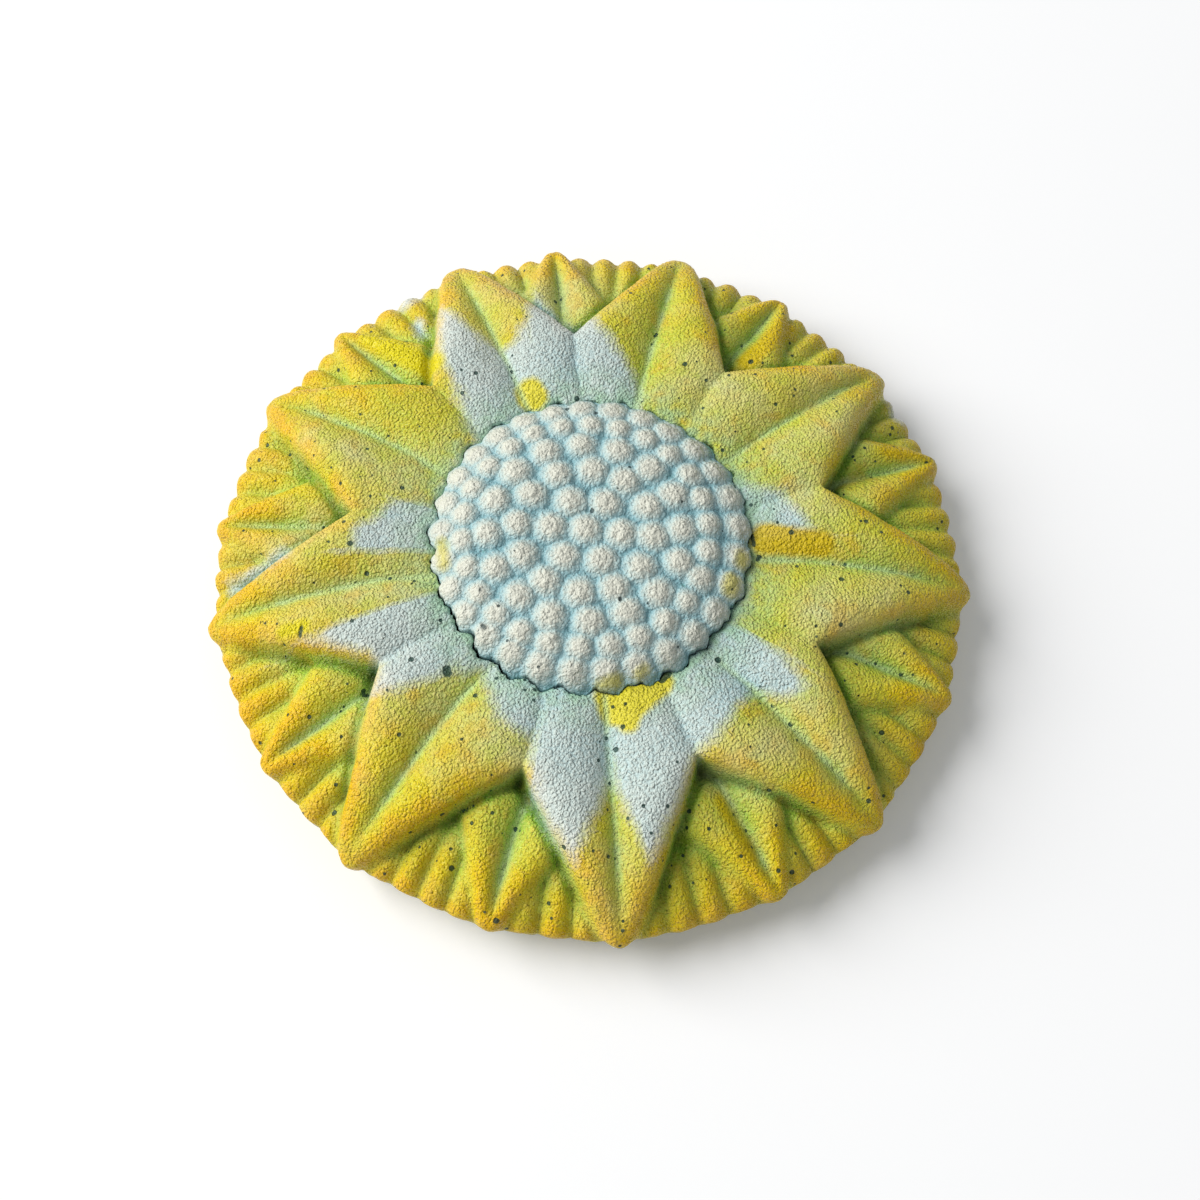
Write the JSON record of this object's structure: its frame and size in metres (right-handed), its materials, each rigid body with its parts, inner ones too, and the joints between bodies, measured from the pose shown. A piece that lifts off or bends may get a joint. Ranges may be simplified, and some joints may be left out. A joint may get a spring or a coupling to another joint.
{
  "type": "sunflower bath bomb",
  "caption": "Pressed sunflower-shaped bath bomb: grooved petals in two tiers over a fluted rim, with a domed disc of round seeds in the middle and a flat back.",
  "frame": {"origin": "middle of the flat back the bath bomb rests on", "axes": "+Z out of the flower's face, away from the flat back; the front petal points towards -Y"},
  "size_m": [0.0799, 0.0793, 0.0135],
  "materials": {
    "petal_powder": "matte",
    "disc_powder": "matte"
  },
  "bodies": {
    "root": {"petal_body": "petal_powder", "seed_disc": "disc_powder"}
  },
  "joints": []
}
